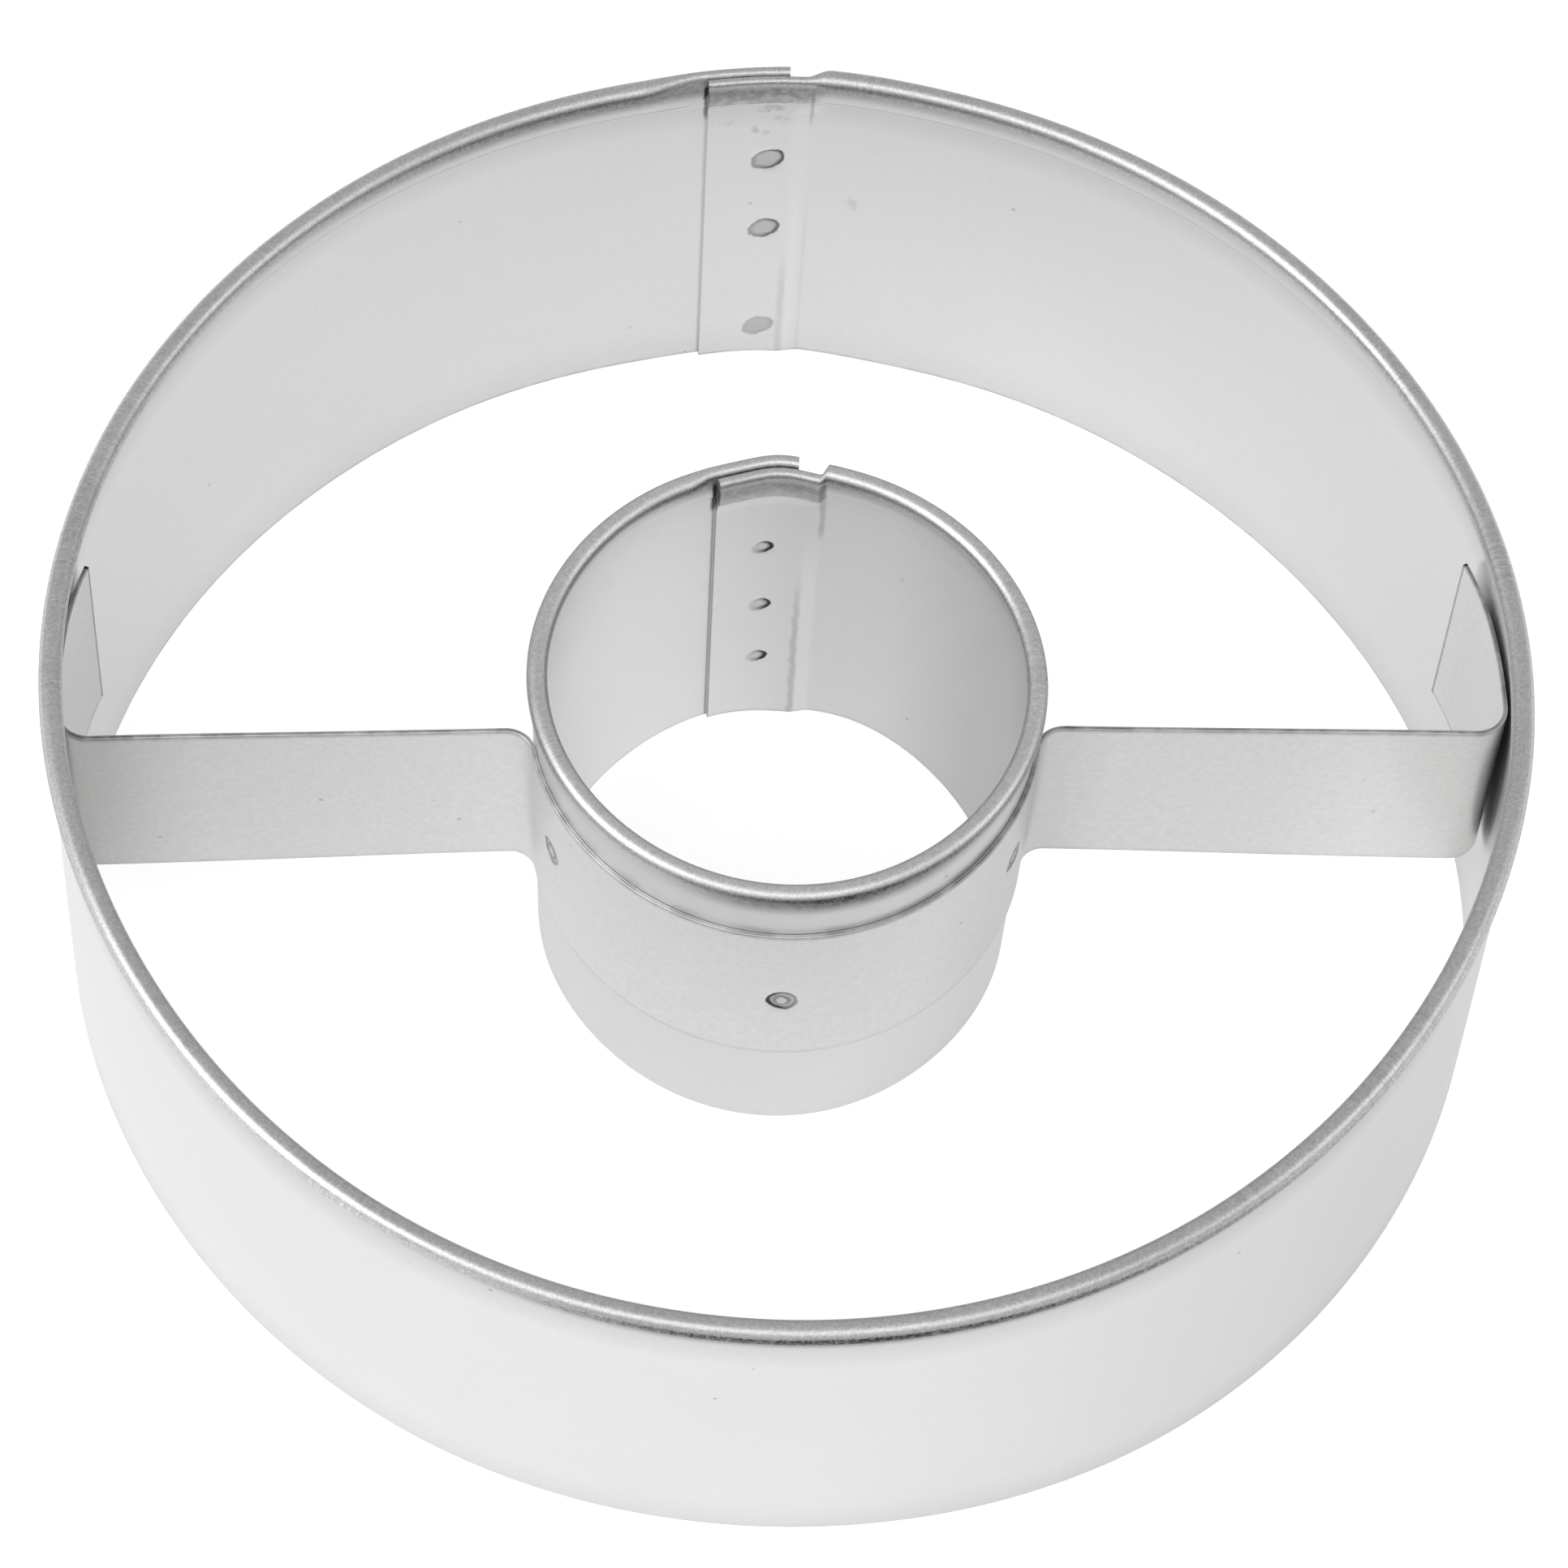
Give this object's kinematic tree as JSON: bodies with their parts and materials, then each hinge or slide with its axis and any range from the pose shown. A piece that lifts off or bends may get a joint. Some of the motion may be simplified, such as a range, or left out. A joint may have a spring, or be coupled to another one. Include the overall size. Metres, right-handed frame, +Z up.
{
  "type": "doughnut cutter",
  "caption": "Round doughnut cutter of bent metal strip: a large cutting ring with a small hole ring held inside it by a bent strip bridge, rolled top edges and lapped seams.",
  "frame": {"origin": "centre of the outer ring, in the plane of the cutting edges", "axes": "+Z up from the cutting edges to the rolled rims, X along the arms of the bridge, +Y towards both lapped seams"},
  "size_m": [0.0888, 0.0888, 0.0284],
  "materials": {
    "outer_ring": "satin tinned steel strip, pale neutral grey, plain cut lower edge",
    "hole_ring": "satin tinned steel strip, pale neutral grey, plain cut lower edge",
    "bridge_strip": "satin tinned steel strip, pale neutral grey, fine specks and scratches"
  },
  "bodies": {
    "root": {"outer_ring": "outer_ring", "hole_ring": "hole_ring", "bridge_strip": "bridge_strip"}
  },
  "joints": []
}
